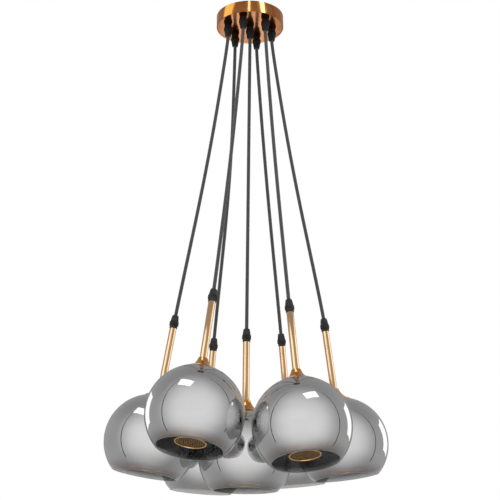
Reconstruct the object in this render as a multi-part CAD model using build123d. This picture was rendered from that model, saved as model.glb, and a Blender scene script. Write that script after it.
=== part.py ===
from build123d import *
import os
from math import cos, pi, radians, sin, sqrt, tan

# A cluster pendant: seven open mirror-glass globes on cords from one round canopy.
# Millimetres, +Z up. The origin is the middle of the ceiling bracket's top face,
# and the ceiling is the plane z = 0. The photographed front faces -Y.

# ---------------------------------------------------------------- driving sizes

# canopy, a shallow metal dish, open at the top against the ceiling
CANOPY_D = 130.0
CANOPY_H = 23.0
CANOPY_WALL = 1.2
HOLE_CIRCLE_R = 43.5  # ring of six cord holes round the middle one
HOLE_PHASE = 12.5  # degrees from +X to the ring's first hole
RING_COUNT = 6

# ceiling bracket, a steel strap with two bent ears and a tab for the terminal block
STRAP_W = 25.0
STRAP_T = 1.5
EAR_DROP = 13.0
EAR_GAP = 0.4  # between an ear and the canopy's wall
TAB_W = 34.0
TAB_REACH = 34.0
SLOT_SPACING = 66.0
SLOT_LENGTH = 20.0
SLOT_W = 4.6
MAINS_BORE_D = 12.0
SIDE_SCREW_D = 4.0
SIDE_SCREW_HEAD_D = 7.0
SIDE_SCREW_L = 9.0

# terminal block under the tab
BLOCK_L = 30.0
BLOCK_W = 15.0
BLOCK_H = 11.0
BLOCK_X = 2.0
BLOCK_Y = 24.0
TERMINAL_D = 3.0
TERMINAL_PITCH = 4.0

# cord grip: a threaded body, a ribbed collar and a tapered dome
THREAD_D = 10.0
THREAD_CLEAR = 0.1  # radial, between a thread and the hole it stands in
GRIP_BASE_D = 14.0
GRIP_BASE_H = 4.0
GRIP_COLLAR_D = 16.4
GRIP_COLLAR_H = 8.5
GRIP_DOME_H = 11.0
GRIP_TOP_D = 11.0
GRIP_RIBS = 16
GRIP_GROOVE_D = 1.6
GRIP_THREAD_L = 7.0
LOCK_NUT_AF = 14.0
LOCK_NUT_H = 3.0

# cord
CORD_D = 6.4
CORD_CLEAR = 0.5  # radial, between the cord and a grip's bore
MOUTH_DEPTH = 1.0  # the cord swings about a point this far inside its grip
MOUTH_CLEAR = 0.85  # radial, at the flared mouth of a canopy grip
TAIL_GAP = 1.3  # between the swinging cord and its fixed tail in the grip
CORD_EXIT_RUN = 14.0
CORD_UPPER_RUN = 250.0
KNEE_RUN = 20.0  # straight stretch of the cord above the grip on its rod
CORD_SEAT = 3.0  # depth of the cord's end in the grip on the rod
CONDUCTOR_D = 2.2
CONDUCTOR_LEVEL = -7.0

# rod and cap
ROD_D = 12.5
ROD_BORE_D = 10.2
ROD_L = 105.0
CAP_TOP_D = 16.6
CAP_BASE_D = 51.0
CAP_H = 20.5
CAP_WALL = 1.2
CAP_LIP = 1.2
CAP_SAG = 3.6  # how far the flare's curve lies inside its chord
SEAT_GAP = 0.3  # between curved faces that rest on each other

# globe
GLOBE_D = 163.0
GLASS_T = 2.5
RIM_DROP = 58.0  # from the globe's middle down to its open rim
NECK_D = 20.0

# inside the globe, from the neck down
SEAL_D = 44.0
SEAL_T = 1.5
WASHER_T = 1.5
NUT_AF = 14.0
NUT_H = 4.0
NIPPLE_IN_ROD = 12.0
HUB_D = 18.0
HUB_H = 10.0
HOLDER_D = 35.0
HOLDER_NECK_H = 20.0
FLANGE_D = 42.0
FLANGE_H = 3.0
SKIRT_D = 39.2
SKIRT_L = 25.0
SOCKET_D = 27.6
SOCKET_DEPTH = 28.0
SHADE_RING_D = 48.0
SHADE_RING_H = 4.0
RING_CLEAR = 0.4

# mesh basket
BASKET_PLATE_D = 60.0
BASKET_WIDE_D = 88.0
BASKET_END_D = 52.0
BASKET_WALL = 1.0
BASKET_FLARE = 30.0  # degrees from the axis
BASKET_ABOVE_RIM = 12.0
BASKET_BULGE = 5.0
WIRE_D = 2.6
MESH_PITCH_X = 4.4
MESH_PITCH_Y = 3.4
MESH_HOLE = 0.72  # a diamond hole's share of its cell
MESH_MARGIN = 1.6

# bulb
BULB_D = 45.0
BULB_BASE_D = 26.6
BULB_BASE_L = 24.0
BULB_L = 76.0
BULB_NECK_D = 24.0

# Each pendant: its hole in the ring (None is the middle one), the direction it
# leans to, how far its cord's upper run, its lower run and its rod lean, all in
# degrees, and how far the middle of its globe hangs below the ceiling.
PENDANTS = {
    "right": (0, 2.5, 8.2, 10.7, 7.0, 829.0),
    "back_right": (1, 60.9, 8.4, 10.9, 10.0, 828.5),
    "back_left": (2, 116.5, 3.5, 12.9, 11.0, 840.0),
    "left": (3, 180.6, 8.1, 10.6, 9.7, 827.5),
    "front_left": (4, 237.3, 8.3, 10.8, 13.0, 806.0),
    "front_right": (5, 292.7, 8.4, 10.9, 11.8, 826.0),
    "centre": (None, 190.0, 0.6, 0.6, 0.6, 853.0),
}

# the pendants' wires from left to right along the terminal block's front (-1) and
# back (1), so that no two wires cross
TERMINAL_ORDER = {
    -1: ["left", "front_left", "centre", "front_right", "right"],
    1: ["back_left", "back_right"],
}

# ---------------------------------------------------------------- worked out

GRIP_H = GRIP_BASE_H + GRIP_COLLAR_H + GRIP_DOME_H
HINGE_Z = -CANOPY_H - GRIP_H + MOUTH_DEPTH
GLOBE_R = GLOBE_D / 2
GLASS_INNER_R = GLOBE_R - GLASS_T
EAR_X = CANOPY_D / 2 - CANOPY_WALL - EAR_GAP
SIDE_SCREW_Z = -(EAR_DROP + STRAP_T) / 2

# heights on a pendant's own axis, measured up from the middle of its globe
CAP_BASE_Z = sqrt(GLOBE_R**2 - (CAP_BASE_D / 2) ** 2) + SEAT_GAP
ROD_Z = CAP_BASE_Z + CAP_H
GRIP_Z = ROD_Z + ROD_L
CORD_END_Z = GRIP_Z + GRIP_H - CORD_SEAT
SEAL_TOP_Z = sqrt(GLASS_INNER_R**2 - (SEAL_D / 2) ** 2) - SEAT_GAP
WASHER_Z = SEAL_TOP_Z - SEAL_T - WASHER_T
HOLDER_TOP_Z = WASHER_Z - NUT_H
FLANGE_Z = HOLDER_TOP_Z - HUB_H - HOLDER_NECK_H
SKIRT_END_Z = FLANGE_Z - SKIRT_L
BULB_TOP_Z = SKIRT_END_Z + SOCKET_DEPTH - 0.5
BULB_MIDDLE_Z = BULB_TOP_Z - BULB_L + BULB_D / 2
BASKET_END_Z = -RIM_DROP + BASKET_ABOVE_RIM
BASKET_WIDE_Z = BASKET_END_Z + (BASKET_WIDE_D - BASKET_END_D) / 2 / tan(radians(BASKET_FLARE))

# ---------------------------------------------------------------- helpers


def turned(*edges):
    """Solid of revolution about Z from a closed outline of (radius, height) edges."""
    outline = Plane.XZ * make_face(Wire(edges))
    return revolve(outline, axis=Axis.Z)


def turned_outline(*points):
    """Solid of revolution about Z from the corners of a straight-sided outline."""
    return turned(*Polyline(*points, close=True).edges())


def tube_section(outer_d, inner_d, height, bottom):
    """A plain tube standing on the height `bottom`."""
    ring = Circle(outer_d / 2) - Circle(inner_d / 2)
    return extrude(Pos(0, 0, bottom) * ring, height)


def hex_nut(across_flats, height, bore_d, bottom):
    """A hexagonal nut standing on the height `bottom`."""
    section = RegularPolygon(across_flats / 2, 6, major_radius=False) - Circle(bore_d / 2)
    return extrude(Pos(0, 0, bottom) * section, height)


def swept_tube(path, diameter):
    """A round tube along a path."""
    start = Plane(origin=path @ 0, z_dir=path % 0)
    return sweep(start * Circle(diameter / 2), path=path)


def hole_place(hole):
    """Where a pendant's cord hole is in the canopy's underside."""
    if hole is None:
        return Vector(0, 0, 0)
    angle = radians(HOLE_PHASE + hole * 360 / RING_COUNT)
    return Vector(HOLE_CIRCLE_R * cos(angle), HOLE_CIRCLE_R * sin(angle), 0)


def leaning_down(direction, lean):
    """Unit vector that points down and leans by `lean` degrees towards `direction`."""
    turn = radians(direction)
    tilt = radians(lean)
    return Vector(sin(tilt) * cos(turn), sin(tilt) * sin(turn), -cos(tilt))


# ---------------------------------------------------------------- cord grip


def grip_body(bore_d):
    """Base and thread of a cord grip, standing on z = 0 with its thread below."""
    base = tube_section(GRIP_BASE_D, bore_d, GRIP_BASE_H, 0)
    thread = tube_section(THREAD_D, bore_d, GRIP_THREAD_L, -GRIP_THREAD_L)
    return base + thread


def grip_nut(bore_d, mouth_d, mouth_depth):
    """Ribbed collar and tapered dome, with a wider mouth for the cord at its top."""
    collar = Circle(GRIP_COLLAR_D / 2)
    for groove in PolarLocations(GRIP_COLLAR_D / 2, GRIP_RIBS):
        collar -= groove * Circle(GRIP_GROOVE_D / 2)
    collar = extrude(Pos(0, 0, GRIP_BASE_H) * collar, GRIP_COLLAR_H)
    dome_z = GRIP_BASE_H + GRIP_COLLAR_H
    dome = turned_outline(
        (0, dome_z),
        (GRIP_COLLAR_D / 2 - GRIP_GROOVE_D / 2, dome_z),
        (GRIP_TOP_D / 2 + 0.8, GRIP_H - GRIP_DOME_H / 3),
        (GRIP_TOP_D / 2, GRIP_H),
        (0, GRIP_H),
    )
    nut = collar + dome
    nut -= Pos(0, 0, GRIP_H / 2) * Cylinder(bore_d / 2, GRIP_H * 2)
    nut -= Pos(0, 0, GRIP_H) * Cylinder(mouth_d / 2, 2 * mouth_depth)
    return nut


def rod_grip():
    """Cord grip on the rod's top, whose clamp holds the cord's end."""
    bore_d = CORD_D + 2 * CORD_CLEAR
    body = Pos(0, 0, GRIP_Z) * grip_body(bore_d)
    clamp_z = GRIP_H - CORD_SEAT
    nut = grip_nut(bore_d, bore_d, CORD_SEAT)
    clamp = tube_section(bore_d, CORD_D / 2, GRIP_COLLAR_H / 2, clamp_z - GRIP_COLLAR_H / 2)
    return [body, Pos(0, 0, GRIP_Z) * (nut + clamp)]


# ---------------------------------------------------------------- pendant pieces


def rod():
    return [tube_section(ROD_D, ROD_BORE_D, ROD_L, ROD_Z)]


def flare_curve(base_r, base_z, top_r, top_z):
    """Concave flare from a wide base up to a narrow top."""
    chord = Vector(top_r - base_r, top_z - base_z, 0)
    inward = Vector(-chord.Y, chord.X, 0).normalized() * CAP_SAG
    middle = Vector(base_r, base_z, 0) + chord * 0.5 + inward
    return ThreePointArc((base_r, base_z), (middle.X, middle.Y), (top_r, top_z))


def cap():
    """Flared metal cap that covers the globe's neck and carries the rod."""
    base_r = CAP_BASE_D / 2
    top_r = CAP_TOP_D / 2
    inner_base_r = base_r - CAP_WALL
    lip_z = CAP_BASE_Z + CAP_LIP
    inner_z = sqrt(GLOBE_R**2 - inner_base_r**2) + 2 * SEAT_GAP
    under_z = ROD_Z - CAP_WALL
    bore_r = THREAD_D / 2 + THREAD_CLEAR
    outer = flare_curve(base_r, lip_z, top_r, ROD_Z)
    inner = flare_curve(inner_base_r, inner_z, top_r - CAP_WALL, under_z)
    return [
        turned(
            Line((base_r, CAP_BASE_Z), (base_r, lip_z)),
            outer,
            Line((top_r, ROD_Z), (bore_r, ROD_Z)),
            Line((bore_r, ROD_Z), (bore_r, under_z)),
            Line((bore_r, under_z), (top_r - CAP_WALL, under_z)),
            inner,
            Line((inner_base_r, inner_z), (base_r, CAP_BASE_Z)),
        )
    ]


def globe():
    """Glass shell: a sphere with a neck hole at the top and a wide opening below."""
    neck_r = NECK_D / 2
    outer_neck_z = sqrt(GLOBE_R**2 - neck_r**2)
    inner_neck_z = sqrt(GLASS_INNER_R**2 - neck_r**2)
    outer_rim_r = sqrt(GLOBE_R**2 - RIM_DROP**2)
    inner_rim_r = sqrt(GLASS_INNER_R**2 - RIM_DROP**2)
    return [
        turned(
            ThreePointArc((neck_r, outer_neck_z), (GLOBE_R, 0), (outer_rim_r, -RIM_DROP)),
            Line((outer_rim_r, -RIM_DROP), (inner_rim_r, -RIM_DROP)),
            ThreePointArc(
                (inner_rim_r, -RIM_DROP), (GLASS_INNER_R, 0), (neck_r, inner_neck_z)
            ),
            Line((neck_r, inner_neck_z), (neck_r, outer_neck_z)),
        )
    ]


def holder_body():
    """Lamp holder: hub, neck, flange and threaded skirt round the bulb's socket."""
    bore_r = THREAD_D / 2 + THREAD_CLEAR
    hub_z = HOLDER_TOP_Z - HUB_H
    socket_top = SKIRT_END_Z + SOCKET_DEPTH
    return turned_outline(
        (bore_r, HOLDER_TOP_Z),
        (HUB_D / 2, HOLDER_TOP_Z),
        (HUB_D / 2, hub_z),
        (HOLDER_D / 2, hub_z),
        (HOLDER_D / 2, FLANGE_Z + FLANGE_H),
        (FLANGE_D / 2, FLANGE_Z + FLANGE_H),
        (FLANGE_D / 2, FLANGE_Z),
        (SKIRT_D / 2, FLANGE_Z),
        (SKIRT_D / 2, SKIRT_END_Z),
        (SOCKET_D / 2, SKIRT_END_Z),
        (SOCKET_D / 2, socket_top),
        (0, socket_top),
        (0, hub_z),
        (bore_r, hub_z),
    )


def lampholder():
    """Lamp holder with its shade ring, and what clamps the globe under the cap."""
    thread_bore = THREAD_D + 2 * THREAD_CLEAR
    seal = tube_section(SEAL_D, thread_bore, SEAL_T, SEAL_TOP_Z - SEAL_T)
    washer = tube_section(SEAL_D, thread_bore, WASHER_T, WASHER_Z)
    nut = hex_nut(NUT_AF, NUT_H, thread_bore, HOLDER_TOP_Z)
    nipple_z = HOLDER_TOP_Z - HUB_H + THREAD_CLEAR
    nipple_bore = CORD_D + 2 * CORD_CLEAR
    nipple_l = ROD_Z + NIPPLE_IN_ROD - nipple_z
    nipple = tube_section(THREAD_D, nipple_bore, nipple_l, nipple_z)
    ring_bore = SKIRT_D + 2 * RING_CLEAR
    ring_z = FLANGE_Z - BASKET_WALL - SHADE_RING_H
    ring = tube_section(SHADE_RING_D, ring_bore, SHADE_RING_H, ring_z)
    lead_l = CORD_END_Z - GRIP_COLLAR_H - nipple_z
    lead = extrude(Pos(0, 0, nipple_z) * Circle(CORD_D / 2), lead_l)
    return [holder_body(), ring, nut, washer, seal, nipple, lead]


def basket():
    """Mesh basket: flared wall with a top plate, wire ring and diamond-holed end."""
    plate_r = BASKET_PLATE_D / 2
    wide_r = BASKET_WIDE_D / 2
    end_r = BASKET_END_D / 2
    hole_r = SKIRT_D / 2 + RING_CLEAR
    plate_z = FLANGE_Z - BASKET_WALL
    bulge_z = (plate_z + BASKET_WIDE_Z) / 2
    bulge_r = (plate_r + wide_r) / 2 + BASKET_BULGE
    wall = turned(
        Line((hole_r, FLANGE_Z), (plate_r, FLANGE_Z)),
        ThreePointArc((plate_r, FLANGE_Z), (bulge_r, bulge_z), (wide_r, BASKET_WIDE_Z)),
        Line((wide_r, BASKET_WIDE_Z), (end_r, BASKET_END_Z)),
        Line((end_r, BASKET_END_Z), (end_r - BASKET_WALL, BASKET_END_Z)),
        Line((end_r - BASKET_WALL, BASKET_END_Z), (wide_r - BASKET_WALL, BASKET_WIDE_Z)),
        ThreePointArc(
            (wide_r - BASKET_WALL, BASKET_WIDE_Z),
            (bulge_r - BASKET_WALL, bulge_z),
            (plate_r - BASKET_WALL, plate_z),
        ),
        Line((plate_r - BASKET_WALL, plate_z), (hole_r, plate_z)),
        Line((hole_r, plate_z), (hole_r, FLANGE_Z)),
    )
    wire = Pos(0, 0, BASKET_END_Z - WIRE_D / 2) * Torus(end_r - BASKET_WALL / 2, WIRE_D / 2)
    mesh_r = end_r - BASKET_WALL / 2
    mesh = extrude(
        Pos(0, 0, BASKET_END_Z - WIRE_D / 2 - BASKET_WALL / 2) * mesh_face(mesh_r), BASKET_WALL
    )
    return [wall, wire + mesh]


def mesh_face(radius):
    """Round sheet with staggered diamond holes that stay clear of its edge."""
    half_x = MESH_PITCH_X / 2 * MESH_HOLE
    half_y = MESH_PITCH_Y / 2 * MESH_HOLE
    diamond = make_face(
        Polyline((half_x, 0), (0, half_y), (-half_x, 0), (0, -half_y), close=True)
    )
    rows = int(2 * radius / MESH_PITCH_Y) + 1
    columns = int(radius / MESH_PITCH_X) + 1
    reach = radius - WIRE_D / 2 - MESH_MARGIN
    holes = []
    for row in range(-rows, rows + 1):
        shift = MESH_PITCH_X / 2 * (row % 2)
        for column in range(-columns, columns + 1):
            place = Vector(column * MESH_PITCH_X + shift, row * MESH_PITCH_Y / 2, 0)
            if place.length < reach:
                holes.append(Pos(place.X, place.Y, 0) * diamond)
    return Circle(radius) - holes


def bulb():
    """Small globe bulb with its screw base."""
    base_z = BULB_TOP_Z - BULB_BASE_L
    radius = BULB_D / 2
    neck_r = BULB_NECK_D / 2
    neck_z = BULB_MIDDLE_Z + sqrt(radius**2 - neck_r**2)
    base = turned_outline(
        (0, BULB_TOP_Z),
        (BULB_BASE_D / 4, BULB_TOP_Z),
        (BULB_BASE_D / 2, BULB_TOP_Z - 4),
        (BULB_BASE_D / 2, base_z),
        (0, base_z),
    )
    glass = turned(
        Line((0, base_z), (neck_r, base_z)),
        Line((neck_r, base_z), (neck_r, neck_z)),
        ThreePointArc((neck_r, neck_z), (radius, BULB_MIDDLE_Z), (0, BULB_MIDDLE_Z - radius)),
        Line((0, BULB_MIDDLE_Z - radius), (0, base_z)),
    )
    return [base, glass]


# ---------------------------------------------------------------- cords


def cord_route(hole, direction, upper_lean, lower_lean, rod_lean, depth):
    """The cord's points from its canopy grip down, and the globe's middle."""
    start = hole_place(hole) + Vector(0, 0, HINGE_Z)
    lower = leaning_down(direction, lower_lean)
    along_rod = leaning_down(direction, rod_lean)
    if hole is None:
        middle = start + along_rod * ((start.Z + depth) / -along_rod.Z)
        return [start, middle - along_rod * CORD_END_Z], middle
    exit_end = start + Vector(0, 0, -CORD_EXIT_RUN)
    bend = exit_end + leaning_down(direction, upper_lean) * CORD_UPPER_RUN
    knee_to_middle = along_rod * (KNEE_RUN + CORD_END_Z)
    knee = bend + lower * ((bend.Z + knee_to_middle.Z + depth) / -lower.Z)
    middle = knee + knee_to_middle
    return [start, exit_end, bend, knee, middle - along_rod * CORD_END_Z], middle


def cord_radii(points):
    """Each corner's radius: 0.45 of its shorter run, over the tangent of half the turn."""
    runs = [after - before for before, after in zip(points, points[1:])]
    radii = []
    for before, after in zip(runs, runs[1:]):
        half_turn = radians(before.get_angle(after)) / 2
        radii.append(0.45 * min(before.length, after.length) / tan(half_turn))
    return radii


def cord(name, points):
    """The cord's tube, with a printed check of its radii and its volume."""
    radii = cord_radii(points)
    if radii:
        path = FilletPolyline(*points, radius=radii)
    else:
        path = Line(*points)
    tube = swept_tube(path, CORD_D)
    expected = pi * (CORD_D / 2) ** 2 * path.length
    ratio = tube.volume / expected
    print(name, "length", round(path.length, 1), "radii", [round(r) for r in radii], ratio)
    return tube


# ---------------------------------------------------------------- canopy pieces


def canopy():
    """Spun dish with the cord holes and two countersunk side holes."""
    outside = extrude(Pos(0, 0, -CANOPY_H) * Circle(CANOPY_D / 2), CANOPY_H)
    inside_r = CANOPY_D / 2 - CANOPY_WALL
    shell = outside - extrude(Pos(0, 0, CANOPY_WALL - CANOPY_H) * Circle(inside_r), CANOPY_H)
    hole_r = THREAD_D / 2 + THREAD_CLEAR
    for hole, *_ in PENDANTS.values():
        place = hole_place(hole)
        shell -= Pos(place.X, place.Y, -CANOPY_H) * Cylinder(hole_r, 4 * CANOPY_WALL)
    for side in (-1, 1):
        shell -= side_screw_shape(side, 2 * THREAD_CLEAR, CANOPY_D)
    return [shell]


def side_screw_shape(side, clear, outer_x):
    """Countersunk screw shape along X, `clear` wider all round, out to `outer_x`."""
    flush_x = CANOPY_D / 2 - SEAT_GAP
    shank_r = SIDE_SCREW_D / 2 - THREAD_CLEAR + clear
    head_r = SIDE_SCREW_HEAD_D / 2 + clear
    profile = turned_outline(
        (0, outer_x),
        (head_r, outer_x),
        (head_r, flush_x),
        (shank_r, flush_x - CANOPY_WALL),
        (shank_r, flush_x - SIDE_SCREW_L),
        (0, flush_x - SIDE_SCREW_L),
    )
    return Pos(0, 0, SIDE_SCREW_Z) * Rot(0, 90 * side, 0) * profile


def canopy_grips():
    """Seven cord grips, head down in the canopy's underside, with their lock nuts."""
    bore_d = CORD_D + 2 * CORD_CLEAR
    mouth_d = CORD_D + 2 * MOUTH_CLEAR
    body = grip_body(bore_d)
    nut = grip_nut(bore_d, mouth_d, MOUTH_DEPTH + TAIL_GAP)
    floor_z = CANOPY_WALL - CANOPY_H
    lock_nut = hex_nut(LOCK_NUT_AF, LOCK_NUT_H, THREAD_D + 2 * THREAD_CLEAR, floor_z)
    pieces = []
    for hole, *_ in PENDANTS.values():
        place = hole_place(hole)
        upside_down = Pos(place.X, place.Y, -CANOPY_H) * Rot(180, 0, 0)
        pieces.append(upside_down * body)
        pieces.append(upside_down * nut)
        pieces.append(Pos(place.X, place.Y, 0) * lock_nut)
    return pieces


def ceiling_bracket():
    """Strap across the canopy with ceiling slots, mains bore, ears and a tab."""
    strap = extrude(Rectangle(2 * EAR_X, STRAP_W), -STRAP_T)
    tab = extrude(Pos(0, TAB_REACH / 2) * Rectangle(TAB_W, TAB_REACH), -STRAP_T)
    plate = strap + tab
    for side in (-1, 1):
        ear_x = side * (EAR_X - STRAP_T / 2)
        ear = Pos(ear_x, 0, -EAR_DROP / 2) * Box(STRAP_T, STRAP_W / 2, EAR_DROP)
        hole = Rot(0, 90, 0) * Cylinder(SIDE_SCREW_D / 2, 3 * STRAP_T)
        plate = plate + ear - Pos(ear_x, 0, SIDE_SCREW_Z) * hole
        slot = Pos(side * SLOT_SPACING / 2, 0) * SlotOverall(SLOT_LENGTH, SLOT_W)
        plate -= extrude(slot, -STRAP_T)
    plate -= Cylinder(MAINS_BORE_D / 2, 3 * STRAP_T)
    plate &= Cylinder(EAR_X, 3 * EAR_DROP)
    corners = plate.edges().filter_by(Axis.Z).filter_by(GeomType.LINE).sort_by(Axis.Y)[-2:]
    return [fillet(corners, STRAP_T * 2)]


def terminals():
    """Each wire's pendant, its entry in the terminal block and the block's side."""
    places = []
    for side, names in TERMINAL_ORDER.items():
        entry_y = BLOCK_Y + side * BLOCK_W / 2
        for number, name in enumerate(names):
            entry_x = BLOCK_X + (number - (len(names) - 1) / 2) * TERMINAL_PITCH
            places.append((name, Vector(entry_x, entry_y, CONDUCTOR_LEVEL), side))
    return places


def terminal_block():
    """Block under the bracket's tab with wire holes in its front and back."""
    block = Pos(BLOCK_X, BLOCK_Y, -STRAP_T - BLOCK_H / 2) * Box(BLOCK_L, BLOCK_W, BLOCK_H)
    for _, entry, _ in terminals():
        hole = Cylinder(TERMINAL_D / 2, 2 * TERMINAL_D)
        block -= Pos(entry.X, entry.Y, entry.Z) * Rot(90, 0, 0) * hole
    return block


def cord_tails():
    """The fixed ends of the cords: each sheath in its grip, and its wires above it."""
    tails = []
    sheath_top = GRIP_THREAD_L - CANOPY_H + THREAD_CLEAR
    sheath_bottom = HINGE_Z + TAIL_GAP
    for name, entry, side in terminals():
        place = hole_place(PENDANTS[name][0])
        sheath = extrude(Circle(CORD_D / 2), sheath_top - sheath_bottom)
        tails.append(Pos(place.X, place.Y, sheath_bottom) * sheath)
        foot = Vector(place.X, place.Y, sheath_top)
        corner = Vector(place.X, place.Y, CONDUCTOR_LEVEL)
        approach = entry + Vector(0, side * TERMINAL_PITCH, 0)
        points = [foot, corner, approach, entry]
        path = FilletPolyline(*points, radius=tail_radii(points))
        tails.append(swept_tube(path, CONDUCTOR_D))
    return tails


def tail_radii(points):
    """Corner radii of a wire, as large as its runs allow."""
    return [min(radius, 5 * CONDUCTOR_D) for radius in cord_radii(points)]


def canopy_fittings():
    """Terminal block, side screws and cord tails inside the canopy."""
    head_face_x = CANOPY_D / 2 - SEAT_GAP / 2
    screws = [side_screw_shape(side, 0, head_face_x) for side in (-1, 1)]
    return [terminal_block(), *screws, *cord_tails()]


# ---------------------------------------------------------------- the whole part


def save(name, pieces, place=Location()):
    """Write one node's solids to its own file."""
    solids = []
    for piece in pieces:
        solids.extend((place * piece).solids())
    export_step(Compound(children=solids), f"parts/{name}.step")
    print(name, len(solids), "solids")


os.makedirs("parts", exist_ok=True)

save("canopy", canopy())
save("canopy_grips", canopy_grips())
save("ceiling_bracket", ceiling_bracket())
save("canopy_fittings", canopy_fittings())

pendant_pieces = {
    "rod_grip": rod_grip(),
    "rod": rod(),
    "cap": cap(),
    "globe": globe(),
    "lampholder": lampholder(),
    "basket": basket(),
    "bulb": bulb(),
}

for name, pendant in PENDANTS.items():
    points, middle = cord_route(*pendant)
    _, direction, _, _, rod_lean, _ = pendant
    up = leaning_down(direction, rod_lean) * -1
    turn = radians(direction)
    place = Plane(origin=middle, x_dir=(-sin(turn), cos(turn), 0), z_dir=up).location
    for piece_name, pieces in pendant_pieces.items():
        save(f"{piece_name}_{name}", pieces, place)
    save(f"cord_{name}", [cord(name, points)])
    print(name, "globe middle", [round(value, 1) for value in middle])
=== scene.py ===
# %% [markdown]
# # Dressing a seven-light cluster pendant
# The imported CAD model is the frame: it says where every piece hangs. This lesson adds the
# camera, the looks and the light. Each visible piece is made again with smooth, rounded
# meshes in the CAD piece's own place, because a CAD mesh is loose flat triangles, and on
# polished metal and mirror glass every one of them would show.

# %% Load the frame
from math import cos, pi, radians, sin, sqrt

import bmesh
import bpy
from mathutils import Matrix, Vector


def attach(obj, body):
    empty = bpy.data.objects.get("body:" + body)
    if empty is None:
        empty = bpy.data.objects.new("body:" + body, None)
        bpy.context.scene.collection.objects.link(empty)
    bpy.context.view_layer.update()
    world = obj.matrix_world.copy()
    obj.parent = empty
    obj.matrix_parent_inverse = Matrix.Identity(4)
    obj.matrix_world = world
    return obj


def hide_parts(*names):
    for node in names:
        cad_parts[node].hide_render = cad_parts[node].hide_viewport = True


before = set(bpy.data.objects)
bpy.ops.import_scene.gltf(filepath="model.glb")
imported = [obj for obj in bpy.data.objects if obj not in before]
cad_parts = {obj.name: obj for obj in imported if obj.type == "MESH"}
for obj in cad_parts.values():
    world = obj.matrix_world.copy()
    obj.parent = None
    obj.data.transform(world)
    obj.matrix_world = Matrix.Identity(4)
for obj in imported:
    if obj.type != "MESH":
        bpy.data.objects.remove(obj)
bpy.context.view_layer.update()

MM = 0.001

# %% [markdown]
# ## Camera
# The picture looks up at the cluster from below its middle, with a long lens. A camera that
# is pitched up and has no shift keeps the same distortion: the globes at the edge lean out.

# %% Camera
CAMERA_BACK = 1.9986
CAMERA_Z = -1.1109
CAMERA_PITCH = 0.307
CAMERA_LENS = 82.47
SENSOR_WIDTH = 36


def in_scene(name, data):
    """Make an object of some data and put it into the scene."""
    made = bpy.data.objects.new(name, data)
    bpy.context.scene.collection.objects.link(made)
    return made


camera_data = bpy.data.cameras.new("camera")
camera_data.lens = CAMERA_LENS
camera_data.sensor_width = SENSOR_WIDTH
camera = in_scene("camera", camera_data)
camera.location = (0, -CAMERA_BACK, CAMERA_Z)
camera.rotation_euler = (pi / 2 + CAMERA_PITCH, 0, 0)
bpy.context.scene.camera = camera
print("camera", tuple(camera.location), "pitched up", round(CAMERA_PITCH * 180 / pi, 1))

# %% [markdown]
# ## Where the seven pendants hang
# Every pendant hangs from its own hole: one in the middle of the canopy and six in a ring.
# The globes push each other outwards, so the outer cords lean. Six values say it all for
# one pendant: its hole, the direction that it leans to, by how much its cord's upper run,
# its lower run and its rod lean, and how deep its globe hangs. From these follow the
# cord's route and the frame that the pendant's pieces share.

# %% Places of the pendants
HOLE_CIRCLE_R = 43.5 * MM
HOLE_PHASE = 12.5
HINGE_Z = -45.5 * MM
CORD_EXIT_RUN = 14 * MM
CORD_UPPER_RUN = 250 * MM
KNEE_RUN = 20 * MM
CORD_END_Z = 223.71 * MM
PENDANTS = {
    "right": (0, 2.5, 8.2, 10.7, 7.0, 0.829),
    "back_right": (1, 60.9, 8.4, 10.9, 10.0, 0.8285),
    "back_left": (2, 116.5, 3.5, 12.9, 11.0, 0.840),
    "left": (3, 180.6, 8.1, 10.6, 9.7, 0.8275),
    "front_left": (4, 237.3, 8.3, 10.8, 13.0, 0.806),
    "front_right": (5, 292.7, 8.4, 10.9, 11.8, 0.826),
    "centre": (None, 190.0, 0.6, 0.6, 0.6, 0.853),
}


def hole_place(hole):
    """A cord hole's place in the canopy, seen from above."""
    if hole is None:
        return Vector((0, 0, 0))
    turn = radians(HOLE_PHASE + hole * 60)
    return Vector((HOLE_CIRCLE_R * cos(turn), HOLE_CIRCLE_R * sin(turn), 0))


def leaning_down(direction, lean):
    """Unit vector that points down and leans towards a direction, both in degrees."""
    turn = radians(direction)
    tilt = radians(lean)
    return Vector((sin(tilt) * cos(turn), sin(tilt) * sin(turn), -cos(tilt)))


def cord_route(hole, direction, upper_lean, lower_lean, rod_lean, depth):
    """The points that a cord follows, and the middle of its globe."""
    start = hole_place(hole) + Vector((0, 0, HINGE_Z))
    lower = leaning_down(direction, lower_lean)
    along_rod = leaning_down(direction, rod_lean)
    if hole is None:
        middle = start + along_rod * ((start.z + depth) / -along_rod.z)
        return [start, middle - along_rod * CORD_END_Z], middle
    exit_end = start - Vector((0, 0, CORD_EXIT_RUN))
    bend = exit_end + leaning_down(direction, upper_lean) * CORD_UPPER_RUN
    knee_to_middle = along_rod * (KNEE_RUN + CORD_END_Z)
    knee = bend + lower * ((bend.z + knee_to_middle.z + depth) / -lower.z)
    middle = knee + knee_to_middle
    return [start, exit_end, bend, knee, middle - along_rod * CORD_END_Z], middle


routes = {}
globe_middles = {}
pendant_frames = {}
for name, pendant in PENDANTS.items():
    routes[name], globe_middles[name] = cord_route(*pendant)
    _, direction, _, _, rod_lean, _ = pendant
    up = -leaning_down(direction, rod_lean)
    side = Vector((-sin(radians(direction)), cos(radians(direction)), 0))
    axes = Matrix((side, up.cross(side), up)).transposed().to_4x4()
    pendant_frames[name] = Matrix.Translation(globe_middles[name]) @ axes
    print(name, "globe middle", [round(value, 4) for value in globe_middles[name]])

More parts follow.
